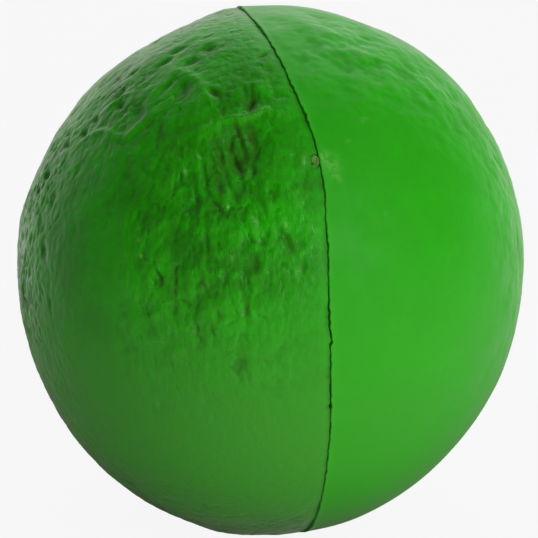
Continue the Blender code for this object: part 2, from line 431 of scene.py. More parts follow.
def ridge_profile(points, row):
    """How high a ridge stands here: round on top, falling off on both sides."""
    marks, width, height = row
    path = np.array([place(a, u) for a, u in marks])
    nearest = np.full(points.shape[:-1], 1.0)
    fade = np.zeros(points.shape[:-1])
    for i, (p, q) in enumerate(zip(path, path[1:])):
        share = np.clip((points - p) @ (q - p) / ((q - p) @ (q - p)), 0, 1)
        distance = np.linalg.norm(points - p - share[..., None] * (q - p), axis=-1)
        closer = distance < nearest
        nearest = np.where(closer, distance, nearest)
        fade = np.where(closer, (i + share) / (len(path) - 1), fade)
    ends = np.sin(np.pi * (0.12 + 0.76 * fade))
    return height * MM * ends * np.exp(-((nearest / (width * MM)) ** 2))


print("marks:", len(RIDGES), "ridges,", len(PITS), "pits,", len(STAINS), "stains")

# %% [markdown]
# ## Laying out a skin half
# Now each ring of points is placed. Besides its place, a point keeps some facts that later steps
# need: which way is out, how strong the dents are there, the height of the big marks, the brown
# stains, and the scuffs with painted glints. The right half stands a little proud at the seam, and
# the left half dips.

# %% Pour mark, lip and points
POUR_UP = 48.7
POUR_X = seam_offset(math.radians(POUR_UP)) - 0.45 * MM
POUR_ACROSS = math.degrees(math.asin(POUR_X / SHORT_RADIUS))
POUR_OVAL = (POUR_ACROSS, POUR_UP, 0.95, 0.58, 0, 1)
POUR_DEPTH, POUR_RIM = 0.55 * MM, (0.32, 0.60)
# height and width (mm) of the lip at the right of the seam and of the valley at its left
LIP, VALLEY = (0.15, 0.55), (-0.10, 0.6)
# dents fade out this deep in the skin, this high over the rest flat and this far from the seam
FADE_DEPTH, FADE_LOW, FADE_SEAM = 0.35 * MM, (0.05 * MM, 1.6 * MM), (0.2 * MM, 2.0 * MM)


def smooth(value, low, high):
    """0 up to low, 1 from high on, and a soft step between them."""
    t = np.clip((value - low) / (high - low), 0, 1)
    return t * t * (3 - 2 * t)


def edge_height(side, arc, up):
    """The lip at the right of the seam and the valley at its left."""
    height, width = LIP if side > 0 else VALLEY
    away = arc / (width * MM)
    fall = np.exp(-away) if side > 0 else np.exp(-(away**2))
    return height * MM * fall * (1 + 0.35 * ripple(up, 7, 6, 40))


def ring_points(side, arc, depth, count):
    """The points of one ring and what each keeps."""
    up = np.arange(count) * (2 * math.pi / count)
    x = side * (np.sin(arc / SHORT_RADIUS) + half_gap(up) / SHORT_RADIUS)
    ring = np.sqrt(np.maximum(1 - x**2, 1e-6))
    slid = x + seam_offset(up) / SHORT_RADIUS * np.exp(-((x * SHORT_RADIUS / SEAM_REACH) ** 2))
    direction = on_ring(slid, ring, up)
    direction /= np.linalg.norm(direction, axis=-1, keepdims=True)
    points = surface_points(direction, depth)
    outer = np.clip(1 - depth / FADE_DEPTH, 0, 1)
    above_rest = smooth(points[:, 2], *FADE_LOW)
    return {
        "place": points,
        "outwards": direction * (outer * above_rest)[:, None],
        "across": np.degrees(np.arcsin(direction[:, 0])),
        "up": np.degrees(up),
        "edge": edge_height(side, arc, up) * np.ones(count),
        "arc": np.full(count, float(arc)),
    }


def skin_points(side, rings):
    """The points of all rings, then one for the inside's end and one for the outside's."""
    parts = [ring_points(side, *ring) for ring in rings]
    end = np.array([[float(side), 0, 0]])
    for depth in (rings[0][1], rings[-1][1]):
        parts.append({
            "place": surface_points(end, depth), "outwards": end * (depth == 0),
            "across": np.array([90.0 * side]), "up": np.zeros(1),
            "edge": np.zeros(1), "arc": np.array([QUARTER]),
        })
    return {key: np.concatenate([part[key] for part in parts]) for key in parts[0]}


def mark_heights(points, side):
    """The heights of the big marks and forms, and how strong stains, scuffs with painted glints,
    and the hole are.
    """
    height, form = np.zeros(len(points)), np.zeros(len(points))
    if side < 0:
        height = sum(ridge_profile(points, row) for row in RIDGES) - MM * ovals(points, PITS)
        form = MM * ovals(points, FORMS)
    stain, scuff_and_glint = (np.clip(ovals(points, rows), 0, 1) for rows in (STAINS, SCUFFS_AND_GLINTS))
    hole = smooth(oval(points, POUR_OVAL), *POUR_RIM)
    return height - POUR_DEPTH * hole, form, stain, scuff_and_glint, hole


print("pour mark at", np.round(place(POUR_ACROSS, POUR_UP), 4))

# %% [markdown]
# ## From points to a mesh
# Blender takes the points and faces, and each fact becomes a named attribute, which Geometry Nodes
# and materials can both read. We check the volume's sign, because a shell must face outwards.

# %% Mesh helpers
def new_mesh(name, points, faces):
    mesh = bpy.data.meshes.new(name)
    mesh.from_pydata(np.asarray(points).tolist(), [], faces)
    mesh.update()
    mesh.validate()
    return mesh


def set_attribute(mesh, name, values, kind="FLOAT"):
    layer = mesh.attributes.new(name, kind, "POINT")
    field = "vector" if kind == "FLOAT_VECTOR" else "value"
    layer.data.foreach_set(field, np.asarray(values, dtype=np.float32).ravel())


def face_outwards(mesh):
    bm = bmesh.new()
    bm.from_mesh(mesh)
    if bm.calc_volume(signed=True) < 0:
        mesh.flip_normals()
    bm.free()


def new_piece(name, data):
    """Puts a mesh, a lamp or a camera in the scene."""
    piece = bpy.data.objects.new(name, data)
    bpy.context.scene.collection.objects.link(piece)
    return piece


def make_skin_base(name, side, rings):
    """One skin half before its dents, with the facts that the dents and the colours need."""
    facts = skin_points(side, rings)
    faces = stitch([ring[2] for ring in rings], ((0, True), (len(rings) - 1, False)))
    mesh = new_mesh(name, facts["place"], faces)
    face_outwards(mesh)
    where = facts["across"], facts["up"]
    dents_base, dents, net_base, net = PATCHES[side]
    calm_edge = smooth(facts["arc"], *FADE_SEAM)
    height, form, stain, scuff_and_glint, hole = mark_heights(facts["place"], side)
    strength = patches(*where, dents_base, dents) * (0.15 + 0.85 * calm_edge) * (1 - hole)
    kept = {
        "marks": height * calm_edge ** (hole < 0.01) + facts["edge"], "form": form * calm_edge,
        "dents": strength, "net": patches(*where, net_base, net) * calm_edge,
        "stain": stain, "scuff_and_glint": scuff_and_glint,
    }
    for key, values in kept.items():
        set_attribute(mesh, key, values)
    set_attribute(mesh, "outwards", facts["outwards"], "FLOAT_VECTOR")
    return new_piece(name, mesh)


# %% [markdown]
# ## Building node trees in code
# Both Geometry Nodes and materials are trees of nodes. These small helpers work on the tree that
# was opened last. They add a node, set or link its inputs, and hand back its outputs, so that a
# tree reads like a formula.

# %% Node helpers
OPENED = []


def new_tree(name, kind, inputs, outputs):
    """A node group. An input is given its default, or the name of its kind if it has none."""
    tree = bpy.data.node_groups.new(name, kind)
    OPENED.append(tree)
    for label, value in inputs.items():
        kinds = {float: "Float", int: "Int", tuple: "Vector", str: value}
        kind = "NodeSocket" + kinds[type(value)]
        socket = tree.interface.new_socket(label, in_out="INPUT", socket_type=kind)
        if not isinstance(value, str):
            socket.default_value = value
    for label, kind in outputs.items():
        tree.interface.new_socket(label, in_out="OUTPUT", socket_type="NodeSocket" + kind)
    given, result = tree.nodes.new("NodeGroupInput"), tree.nodes.new("NodeGroupOutput")
    return tree, given.outputs, result.inputs


def link(output, socket):
    OPENED[-1].links.new(output, socket)


def fill(node, inputs):
    """Links each input to another node's output, or gives it a value or a colour."""
    for key, value in inputs.items():
        socket = node.inputs[key]
        if isinstance(value, bpy.types.NodeSocket):
            link(value, socket)
        elif socket.type == "RGBA":
            socket.default_value = (*value, 1.0)
        else:
            socket.default_value = value


def put(kind, inputs=None, **settings):
    """Adds a node to the tree that was opened last, and hands back its outputs."""
    node = OPENED[-1].nodes.new(kind)
    for key, value in settings.items():
        setattr(node, key, value)
    fill(node, inputs or {})
    return node.outputs


def calc(operation, *values):
    return put("ShaderNodeMath", dict(enumerate(values)), operation=operation)[0]


def chain(operation):
    """A function that takes two or more values and works through them from left to right."""

    def run(total, *values):
        for value in values:
            total = calc(operation, total, value)
        return total

    return run


times, plus, minus, divide = map(chain, ("MULTIPLY", "ADD", "SUBTRACT", "DIVIDE"))


def vector(operation, a, b=None, scale=None):
    inputs = {0: a}
    if b is not None:
        inputs[1] = b
    if scale is not None:
        inputs["Scale"] = scale
    result = put("ShaderNodeVectorMath", inputs, operation=operation)
    return result["Value" if operation in ("DOT_PRODUCT", "LENGTH") else "Vector"]


def remap(value, low, high, to_low=0.0, to_high=1.0):
    inputs = {"Value": value, 1: low, 2: high, 3: to_low, 4: to_high}
    return put("ShaderNodeMapRange", inputs, interpolation_type="SMOOTHSTEP")[0]


def noise(where, size, detail=2.0, output="Fac"):
    inputs = {"Vector": where, "Scale": size, "Detail": detail, "Roughness": 0.55}
    return put("ShaderNodeTexNoise", inputs)[output]


def cells(where, size):
    """A Voronoi texture: the distance to the nearest cell's middle, and a number for each cell."""
    found = put("ShaderNodeTexVoronoi", {"Vector": where, "Scale": size})
    return found["Distance"], put("ShaderNodeSeparateXYZ", {0: found["Color"]})[0]


def position():
    return put("GeometryNodeInputPosition")[0]


def fact(name, kind="FLOAT"):
    """What the points keep under this name."""
    return put("GeometryNodeInputNamedAttribute", {"Name": name}, data_type=kind)["Attribute"]


def store(geometry, name, value, kind="FLOAT"):
    inputs = {"Geometry": geometry, "Name": name, "Value": value}
    return put("GeometryNodeStoreNamedAttribute", inputs, data_type=kind, domain="POINT")[0]


def realize(geometry):
    return put("GeometryNodeRealizeInstances", {"Geometry": geometry})[0]


def dress(geometry, given, result):
    """Ends the tree by giving its mesh the material, and hands the tree back."""
    ready = put("GeometryNodeSetMaterial", {"Geometry": geometry, "Material": given["Material"]})
    link(ready[0], result["Geometry"])
    return OPENED[-1]


# %% [markdown]
# ## Shrink dents with Geometry Nodes
# When the skin cures faster than the foam behind it, it puckers into small bowls with a net of
# ridges between them. A Voronoi texture has just that pattern: cells around scattered points. We
# stretch it along the ball's grain, bend it with noise so that no cell is regular, and move each
# point in or out. The same tree makes the open cells of the foam inside.

# %% The shrink dents tree
GRAIN = (0.10, 0.40, 0.91)
SHAPE = {"Geometry": "Geometry"}
DENT_INPUTS = {
    "Geometry": "Geometry", "Grain": GRAIN, "Stretch": 2.8, "Dent size": 0.0020,
    "Dent depth": 0.00036, "Bend": 0.0011, "Net size": 0.0013, "Net height": 0.00023,
    "Lump size": 0.0038, "Lump height": 0.00048, "Wrinkle size": 0.0012,
    "Wrinkle height": 0.00020, "Crease size": 0.0026, "Crease depth": 0.00020,
    "Shift": (0, 0, 0), "Material": "Material",
}
# dents stop short of the inside of the skin
DEEPEST = -0.85 * MM
# how far down a hollow of 1 is, and the share of the broad forms that counts as hollow
HOLLOW, FORM_SHARE = 0.0001, 0.045


def build_dents():
    """Moves each point in or out. Strengths and marks come from what the points keep."""
    tree, given, result = new_tree("Shrink dents", "GeometryNodeTree", DENT_INPUTS, SHAPE)

    def per(name, top=1.0):
        return divide(top, given[name])

    def waves(where, name, detail):
        wave = minus(noise(where, per(name + " size"), detail), 0.5)
        return times(wave, times(given[name + " height"], 2.0))

    here = vector("ADD", position(), given["Shift"])
    lift = vector("DOT_PRODUCT", here, given["Grain"])
    shrink = times(lift, minus(per("Stretch"), 1.0))
    squeezed = vector("SCALE", given["Grain"], scale=shrink)
    swirl = noise(here, per("Dent size", 0.6), 2.0, "Color")
    swirl = vector("SUBTRACT", swirl, (0.5, 0.5, 0.5))
    swirl = vector("SCALE", swirl, scale=times(given["Bend"], 2.0))
    where = vector("ADD", vector("ADD", here, squeezed), swirl)

    distance, number = cells(where, per("Dent size"))
    groups = remap(noise(here, per("Lump size", 1.4)), 0.40, 0.62, 0.25, 1.0)
    bowl = remap(distance, 0.0, 0.62, 1.0, 0.0)
    bowl = times(bowl, remap(number, 0.25, 0.95), groups, given["Dent depth"])
    fold = minus(noise(where, per("Crease size"), 1.0), 0.5)
    fold = remap(calc("ABSOLUTE", fold), 0.0, 0.045, 1.0, 0.0)
    fold = times(fold, groups, given["Crease depth"])
    relief = plus(waves(here, "Lump", 2.0), waves(where, "Wrinkle", 3.0))
    relief = times(minus(relief, plus(bowl, fold)), fact("dents"))

    half_way = vector("ADD", here, vector("SCALE", squeezed, scale=0.5))
    edges = {"Vector": vector("ADD", half_way, swirl), "Scale": per("Net size")}
    edges = put("ShaderNodeTexVoronoi", edges, feature="DISTANCE_TO_EDGE")
    net = remap(edges["Distance"], 0.0, 0.42, 0.5, -0.5)
    uneven = plus(times(groups, 0.6), 0.4)
    net = times(net, given["Net height"], fact("net"), uneven)

    height, form = plus(relief, net, fact("marks")), fact("form")
    # the stored hollow, with a share of the broad forms, drives the materials' painted shade and
    # painted highlight
    hollow = divide(plus(height, times(form, FORM_SHARE)), HOLLOW)
    geometry = store(given["Geometry"], "hollow", hollow)
    height = calc("MAXIMUM", plus(height, form), DEEPEST)
    offset = vector("SCALE", fact("outwards", "FLOAT_VECTOR"), scale=height)
    moved = put("GeometryNodeSetPosition", {"Geometry": geometry, "Offset": offset})
    geometry = store(moved["Geometry"], "rest", position(), "FLOAT_VECTOR")
    return dress(realize(geometry), given, result)


DENTS = build_dents()
print("dents tree:", len(DENTS.nodes), "nodes")

# %% Run a tree on a piece
def grow(piece, tree, values):
    """Runs a tree on a piece with these inputs, and keeps the result as its plain mesh."""
    modifier = piece.modifiers.new(tree.name, "NODES")
    modifier.node_group = tree
    for item in tree.interface.items_tree:
        if item.in_out == "INPUT" and item.name in values:
            modifier[item.identifier] = values[item.name]
    bpy.context.view_layer.update()
    graph = bpy.context.evaluated_depsgraph_get()
    mesh = bpy.data.meshes.new_from_object(
        piece.evaluated_get(graph), preserve_all_data_layers=True, depsgraph=graph
    )
    piece.modifiers.remove(modifier)
    mesh.name = piece.name
    piece.data = mesh
    mesh.shade_smooth()
    mesh.calc_loop_triangles()
    print(piece.name, len(mesh.loop_triangles), "triangles")


# %% [markdown]
# ## Effects shared by the materials
# Paint on foam isn't one colour. Three effects are built once as shader groups and reused: soft
# mottle, fine orange peel for the bump, and painted shade in hollows with a painted highlight on
# crests. They give masks and heights only. The shader itself stays in each material.

# %% Shader groups
def build_mottle():
    inputs = {"Place": "Vector", "Size": 0.008, "Fine size": 0.0012, "Fine share": 0.3}
    tree, given, result = new_tree("Mottle", "ShaderNodeTree", inputs, {"Mask": "Float"})
    soft = noise(given["Place"], divide(1.0, given["Size"]), 3.0)
    fine = noise(given["Place"], divide(1.0, given["Fine size"]), 3.0)
    soft = times(soft, minus(1.0, given["Fine share"]))
    fine = times(fine, given["Fine share"])
    link(remap(plus(soft, fine), 0.36, 0.64), result["Mask"])
    return tree


def build_peel():
    inputs = {"Place": "Vector", "Size": 0.0006, "Pinholes": 0.5}
    tree, given, result = new_tree("Orange peel", "ShaderNodeTree", inputs, {"Height": "Float"})
    waves = noise(given["Place"], divide(1.0, given["Size"]), 3.0)
    distance, number = cells(given["Place"], divide(0.45, given["Size"]))
    hole = remap(distance, 0.0, 0.22, 1.0, 0.0)
    hole = times(hole, remap(number, 0.80, 0.90), given["Pinholes"])
    link(minus(waves, hole), result["Height"])
    return tree


# painted shade: a mask that darkens the colour in hollows, and painted highlight: one that lightens
# raised crests
def build_shade_and_highlight():
    inputs = {"Place": "Vector", "Hollow": 0.0, "Depth": 1.5, "Break up": 0.5}
    outputs = {"Painted shade": "Float", "Lit crest": "Float"}
    tree, given, result = new_tree("Painted shade in hollows", "ShaderNodeTree", inputs, outputs)
    rough = minus(noise(given["Place"], 900.0, 3.0), 0.5)
    rough = times(rough, given["Break up"])
    level = plus(divide(given["Hollow"], given["Depth"]), rough)
    link(remap(level, -1.0, -0.1, 1.0, 0.0), result["Painted shade"])
    link(remap(level, 0.1, 0.9), result["Lit crest"])
    return tree


MOTTLE, PEEL, SHADE_AND_HIGHLIGHT = build_mottle(), build_peel(), build_shade_and_highlight()
print("shader groups:", MOTTLE.name, PEEL.name, SHADE_AND_HIGHLIGHT.name)

# %% [markdown]
# ## The green skin
# The paint went into the mould first, so it is part of the skin: a satin, slightly waxy green. Its
# creases hold brown stains and painted shade, its crests get a painted highlight, rubbed marks and
# painted glints are paler, and it is painted greyer and darker low down as haze and shade. The left
# half is also painted a deeper green as shade. A sheen gives it its pale haze, and a broken clear
# coat its wet glints. Patterns follow a stored copy of each point's place, so they squeeze with the
# ball.

# %% Material helpers
def new_material(name):
    material = bpy.data.materials.new(name)
    material.use_nodes = True
    OPENED.append(material.node_tree)
    return material, material.node_tree.nodes["Principled BSDF"]


def attribute(name, output="Fac"):
    return put("ShaderNodeAttribute", attribute_name=name)[output]


def group(shared, inputs):
    return put("ShaderNodeGroup", inputs, node_tree=shared)


def blend(share, a, b):
    return put("ShaderNodeMix", {0: share, 6: a, 7: b}, data_type="RGBA")[2]


def bumpy(height, distance):
    """A surface bumped by this height, where 1 stands for the distance in metres."""
    return put("ShaderNodeBump", {"Height": height, "Distance": distance, "Strength": 1.0})[0]


# %% Green skin material
# the low green is painted haze and shade: greyer and darker low on the ball
GREEN, DEEP_AND_SHADED_GREEN, LOW_HAZE_GREEN = (0.026, 0.570, 0.003), (0.026, 0.390, 0.004), (0.062, 0.420, 0.028)
# painted shade in hollows, a painted highlight on crests, and the paler green of rubbed paint, also
# used for painted glints
SHADED_HOLLOW_GREEN, LIT_CREST_GREEN, RUBBED_AND_GLINT_GREEN = (0.026, 0.150, 0.008), (0.055, 0.620, 0.012), (0.260, 0.820, 0.150)
BROWN = (0.058, 0.075, 0.012)
# the painted haze and shade low on the ball is full below the first height and gone above the
# second
LOW_HAZE_HEIGHTS = (0.022, 0.054)


def green_skin(name, look):
    """A painted skin. look holds the numbers in which the two halves differ."""
    material, shader = new_material(name)
    rest = attribute("rest", "Vector")
    painted_light = group(SHADE_AND_HIGHLIGHT, {"Place": rest, "Hollow": attribute("hollow"), "Depth": 1.7})
    mottle = group(MOTTLE, {"Place": rest, "Size": 0.007, "Fine share": 0.35})["Mask"]
    height = put("ShaderNodeSeparateXYZ", {0: rest})[2]
    grit = remap(noise(rest, 1600.0, 2.0), 0.35, 0.60)

    def gritty(name, least):
        return times(attribute(name), remap(grit, 0.0, 1.0, least, 1.0))

    # the deep green share is random mottle, and on the left half also painted shade
    colour = blend(times(mottle, look["deep and shaded share"]), GREEN, DEEP_AND_SHADED_GREEN)
    for share, over in (
        # painted haze and shade: greyer and darker low on the ball
        (remap(height, *LOW_HAZE_HEIGHTS, look["low haze"], 0.0), LOW_HAZE_GREEN),
        # painted shade: darker green in the hollows
        (times(painted_light["Painted shade"], look["hollow shade share"]), SHADED_HOLLOW_GREEN),
        # painted highlight: raised crests lighter
        (times(painted_light["Lit crest"], 0.30), LIT_CREST_GREEN),
        (times(gritty("stain", 0.5), 0.66), BROWN),
        # paler marks: partly rubbed paint, partly painted glints
        (times(gritty("scuff_and_glint", 0.25), 0.85), RUBBED_AND_GLINT_GREEN),
    ):
        colour = blend(share, colour, over)
    low, high = look["roughness"] - 0.06, look["roughness"] + 0.08
    patchy = remap(noise(rest, 260.0, 3.0), 0.3, 0.7, low, high)
    rougher = plus(patchy, times(painted_light["Painted shade"], 0.15))

    lift = vector("DOT_PRODUCT", rest, GRAIN)
    squeezed = times(lift, 1 / look["stretch"] - 1)
    streaky = vector("ADD", rest, vector("SCALE", GRAIN, scale=squeezed))
    inputs = {"Place": streaky, "Size": look["peel size"], "Pinholes": 0.8}
    lively = plus(times(attribute("dents"), 1.1), 0.35)
    height = times(group(PEEL, inputs)["Height"], lively)
    gleam = remap(noise(streaky, 2100.0, 3.0), 0.57, 0.63)
    gleam = times(gleam, attribute("dents"), look["wet"])
    fill(shader, {
        "Base Color": colour, "Roughness": rougher, "Normal": bumpy(height, look["peel"]),
        "Coat Weight": gleam, "Coat Roughness": 0.12, "Specular IOR Level": look["gloss"],
        "Sheen Weight": look["haze"], "Sheen Roughness": 0.34, "Sheen Tint": (1.0, 0.90, 0.86),
    })
    return material


# the left half takes the full deep green share and more hollow shade: painted shade over its random
# tone
LEFT_GREEN = green_skin("Puckered green skin", {
    "deep and shaded share": 1.0, "hollow shade share": 0.40, "roughness": 0.42, "peel": 0.00011, "peel size": 0.0006,
    "stretch": 2.6, "gloss": 0.13, "haze": 0.50, "wet": 0.55, "low haze": 1.0,
})
RIGHT_GREEN = green_skin("Smooth green skin", {
    "deep and shaded share": 0.25, "hollow shade share": 0.16, "roughness": 0.50, "peel": 0.000022,
    "peel size": 0.0009, "stretch": 1.3, "gloss": 0.20, "haze": 0.27, "wet": 0.08, "low haze": 0.5,
})
print("skin materials ready")

# %% [markdown]
# ## The two skin halves
# Both halves come from the same steps, with their own numbers: the left one puckers strongly, the
# right one hardly at all.

# %% Make the skin halves
LEFT_SKIN = make_skin_base("left_half_skin", -1, RINGS)
RIGHT_SKIN = make_skin_base("right_half_skin", 1, skin_rings(*SMOOTH))
grow(LEFT_SKIN, DENTS, {"Material": LEFT_GREEN})
grow(RIGHT_SKIN, DENTS, {
    "Material": RIGHT_GREEN, "Shift": (0.31, 0.17, 0.05), "Stretch": 1.2, "Dent size": 0.0028,
    "Dent depth": 0.00022, "Lump height": 0.00060, "Crease depth": 0.00004,
    "Wrinkle height": 0.00016, "Net height": 0.00016,
})
print("skin halves:", LEFT_SKIN.name, RIGHT_SKIN.name)

# %% [markdown]
# ## The flash in the seam
# A thin web of foam creeps between the mould halves and is trimmed off just under the surface. All
# that shows is a dark, ragged thread at the bottom of the seam, painted near-black as the seam's
# shade. It is a closed ring with a small seven-cornered section whose top edge goes up and down.

# %% Make the flash
# millimetres: the depth of its top and its roots, how ragged the top is, its gap to the skin at
# each side, and the least half width
FLASH_TOP, FLASH_ROOT, FLASH_RAGGED, FLASH_CLEAR, FLASH_LEAST = 0.40, 0.97, 0.07, 0.015, 0.02


def flash_points(up):
    """The section all round: a share of the half width, and a depth, for each corner."""
    half = np.maximum(half_gap(up) - FLASH_CLEAR * MM, FLASH_LEAST * MM)
    top = (FLASH_TOP + FLASH_RAGGED * ripple(up, 11, 30, 200)) * MM
    deep = np.full(up.shape, FLASH_ROOT * MM)
    middle = (top + deep) / 2
    section = (
        (-1, deep), (-1, middle), (-0.8, top + 0.05 * MM), (0.1, top), (0.8, top + 0.07 * MM),
        (1, middle), (1, deep),
    )
    columns = []
    for share, depth in section:
        x = (seam_offset(up) + share * half) / SHORT_RADIUS
        columns.append(surface_points(on_ring(x, np.sqrt(1 - x**2), up), depth))
    return np.stack(columns, axis=1)


def make_flash(count):
    points = flash_points(np.arange(count) * (2 * math.pi / count))
    sides = points.shape[1]
    faces = []
    for j in range(count):
        a, b = j * sides, (j + 1) % count * sides
        for k in range(sides):
            faces.append((a + k, a + (k + 1) % sides, b + (k + 1) % sides, b + k))
    points = points.reshape(-1, 3)
    mesh = new_mesh("seam_flash", points, faces)
    face_outwards(mesh)
    set_attribute(mesh, "rest", points, "FLOAT_VECTOR")
    mesh.shade_smooth()
    return new_piece("seam_flash", mesh)


def seam_shade_flash_material():
    material, shader = new_material("Trimmed flash painted as seam shade")
    rest = attribute("rest", "Vector")
    mottle = group(MOTTLE, {"Place": rest, "Size": 0.003, "Fine size": 0.0005})["Mask"]
    # painted shade: the near-black green stands in for the shade deep in the seam
    colour = blend(mottle, (0.010, 0.080, 0.008), (0.030, 0.050, 0.010))
    height = group(PEEL, {"Place": rest, "Size": 0.0003, "Pinholes": 1.0})["Height"]
    fill(shader, {"Base Color": colour, "Roughness": 0.85, "Normal": bumpy(height, 0.00005)})
    return material


FLASH = make_flash(FINE[0])
FLASH.data.materials.append(seam_shade_flash_material())
print("flash faces:", len(FLASH.data.polygons))

# %% [markdown]
# ## The foam inside
# Behind the skin is open-cell foam. It only shows where the seam opens, but a real ball is full of
# it, so it gets its own body with small cells, made by the same tree as the dents.

# %% Make the foam core
CORE_DEPTH, CORE_FADE_LOW = SKIN_THICKNESS + 0.45 * MM, (1.6 * MM, 3.5 * MM)


def make_core():
    bm = bmesh.new()
    bmesh.ops.create_icosphere(bm, subdivisions=6, radius=1)
    mesh = bpy.data.meshes.new("foam_body")
    bm.to_mesh(mesh)
    bm.free()
    directions = np.array([v.co for v in mesh.vertices])
    directions /= np.linalg.norm(directions, axis=1, keepdims=True)
    points = surface_points(directions, CORE_DEPTH)
    mesh.vertices.foreach_set("co", points.astype(np.float32).ravel())
    above_rest = smooth(points[:, 2], *CORE_FADE_LOW)
    set_attribute(mesh, "outwards", directions * above_rest[:, None], "FLOAT_VECTOR")
    for name, value in (("dents", 1), ("net", 1), ("marks", 0), ("form", 0)):
        set_attribute(mesh, name, np.full(len(points), value))
    return new_piece("foam_body", mesh)


def foam_material(name, pale, dark, size):
    material, shader = new_material(name)
    rest = attribute("rest", "Vector")
    painted_light = group(SHADE_AND_HIGHLIGHT, {"Place": rest, "Hollow": attribute("hollow"), "Depth": 2.0})
    mottle = group(MOTTLE, {"Place": rest, "Size": size * 4, "Fine size": size})["Mask"]
    colour = blend(mottle, pale, dark)
    # painted shade: the foam is darker in the hollows of its cells
    colour = blend(times(painted_light["Painted shade"], 0.6), colour, dark)
    height = group(PEEL, {"Place": rest, "Size": size, "Pinholes": 1.0})["Height"]
    fill(shader, {"Base Color": colour, "Roughness": 0.95, "Normal": bumpy(height, size * 0.2)})
    return material


CREAM, DEEP_CREAM = (0.68, 0.56, 0.33), (0.40, 0.29, 0.12)
CREAM_FOAM = foam_material("Cream foam", CREAM, DEEP_CREAM, 0.0006)
CORE = make_core()
grow(CORE, DENTS, {
    "Material": CREAM_FOAM, "Dent size": 0.0018, "Stretch": 1.0, "Dent depth": 0.00025,
    "Net height": 0.00012,
})

# %% [markdown]
# ## The pour mark
# The mix was poured in through a small hole on the seam. The plug of raw foam that set there was
# snipped off, which leaves a torn, crumbly, tan oval a millimetre wide. We model a rough plug and
# let Geometry Nodes scatter crumbs over its top.

# %% Crumb scatter tree
def build_crumbs():
    inputs = {"Geometry": "Geometry", "Density": 2.0e7, "Crumb size": 0.00011, "Seed": 5,
              "Material": "Material"}
    tree, given, result = new_tree("Foam crumbs", "GeometryNodeTree", inputs, SHAPE)
    seed = {"Seed": given["Seed"]}
    top = calc("GREATER_THAN", fact("top"), 0.5)
    inputs = {"Mesh": given["Geometry"], "Selection": top, "Density": given["Density"], **seed}
    spread = put("GeometryNodeDistributePointsOnFaces", inputs)
    crumb = put("GeometryNodeMeshIcoSphere", {"Radius": given["Crumb size"], "Subdivisions": 2})
    size = put("FunctionNodeRandomValue", {2: 0.45, 3: 1.35, **seed})[1]
    inputs = {0: (0, 0, 0), 1: (TURN, TURN, TURN), **seed}
    turn = put("FunctionNodeRandomValue", inputs, data_type="FLOAT_VECTOR")[0]
    scale = vector("SCALE", (1.0, 0.75, 0.6), scale=size)
    inputs = {"Points": spread["Points"], "Instance": crumb["Mesh"], "Rotation": turn,
              "Scale": scale}
    crumbs = put("GeometryNodeInstanceOnPoints", inputs)[0]
    both = put("GeometryNodeJoinGeometry")[0]
    for geometry in (given["Geometry"], crumbs):
        link(geometry, both.node.inputs[0])
    geometry = realize(both)
    geometry = store(geometry, "rest", position(), "FLOAT_VECTOR")
    return dress(geometry, given, result)


# %% Make the pour stub
# share of the oval and depth (mm) of each ring, from the bottom up the side and over the torn top
STUB_RINGS = (
    (0.86, 0.95), (0.93, 0.70), (1.0, 0.36), (0.95, 0.16), (0.80, 0.07), (0.55, 0.02), (0.28, 0.04),
)
# half of the oval's width and length (mm)
STUB_WIDTH, STUB_LENGTH = 0.56, 0.93


def make_stub(count=28):
    """A rough oval plug."""
    random = np.random.default_rng(12)
    around = np.arange(count) * (2 * math.pi / count)
    ragged = 1 + 0.11 * np.sin(3 * around + 1) + 0.08 * np.sin(5 * around)
    sideways, upwards = tangents(POUR_ACROSS, POUR_UP)
    out = direction_at(math.radians(POUR_ACROSS), math.radians(POUR_UP))
    centre = place(POUR_ACROSS, POUR_UP)
    points, top = [], []
    for share, depth in STUB_RINGS:
        rough = random.uniform(-0.05, 0.05, count) * (depth < 0.4)
        for t, r, d in zip(around, ragged, rough):
            flat = sideways * (STUB_WIDTH * math.cos(t)) + upwards * (STUB_LENGTH * math.sin(t))
            points.append(centre + (flat * share * r - out * (depth + d)) * MM)
            top.append(float(depth < 0.3))
    points += [centre - out * 0.95 * MM, centre - out * 0.05 * MM]
    top += [0.0, 1.0]
    faces = stitch([count] * len(STUB_RINGS), ((0, True), (len(STUB_RINGS) - 1, False)))
    mesh = new_mesh("pour_plug", points, faces)
    face_outwards(mesh)
    set_attribute(mesh, "top", top)
    return new_piece("pour_plug", mesh)


DUSTED_TAN, DEEP_TAN = (0.26, 0.60, 0.09), (0.08, 0.30, 0.03)
RAW_FOAM = foam_material("Raw tan foam", DUSTED_TAN, DEEP_TAN, 0.0002)
STUB = make_stub()
grow(STUB, build_crumbs(), {"Material": RAW_FOAM})

# %% [markdown]
# ## Which piece belongs to which body
# Each piece stands for one CAD node and rides on that node's body. Squeezing the ball presses its
# halves together, and the foam between them flattens. Each row also lists the joint that squeezes
# the piece, an anchor across the ball and its material slot.

# %% Bodies, with joints, anchors and slots listed
HALF_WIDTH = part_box("right_skin")[1][0]

PIECES = (
    (LEFT_SKIN, "left_skin", "left_half", "left_press", -HALF_WIDTH, "green_skin"),
    (RIGHT_SKIN, "right_skin", "right_half", "right_press", HALF_WIDTH, "green_skin"),
    (CORE, "foam_core", "core", "left_press", 0.0, "foam"),
    (FLASH, "parting_flash", "core", "left_press", 0.0, "seam_flash"),
    (STUB, "pour_stub", "core", "left_press", 0.0, "raw_foam"),
)
for piece, node, body, joint, anchor, slot in PIECES:
    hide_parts(node)
    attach(piece, body)
    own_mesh(piece)
    print(piece.name, "rides on", body)


# %% [markdown]
# ## Camera
# A long lens from a metre away, looking down at 25 degrees and a little from the left, so that the
# seam shows to the right of the middle.

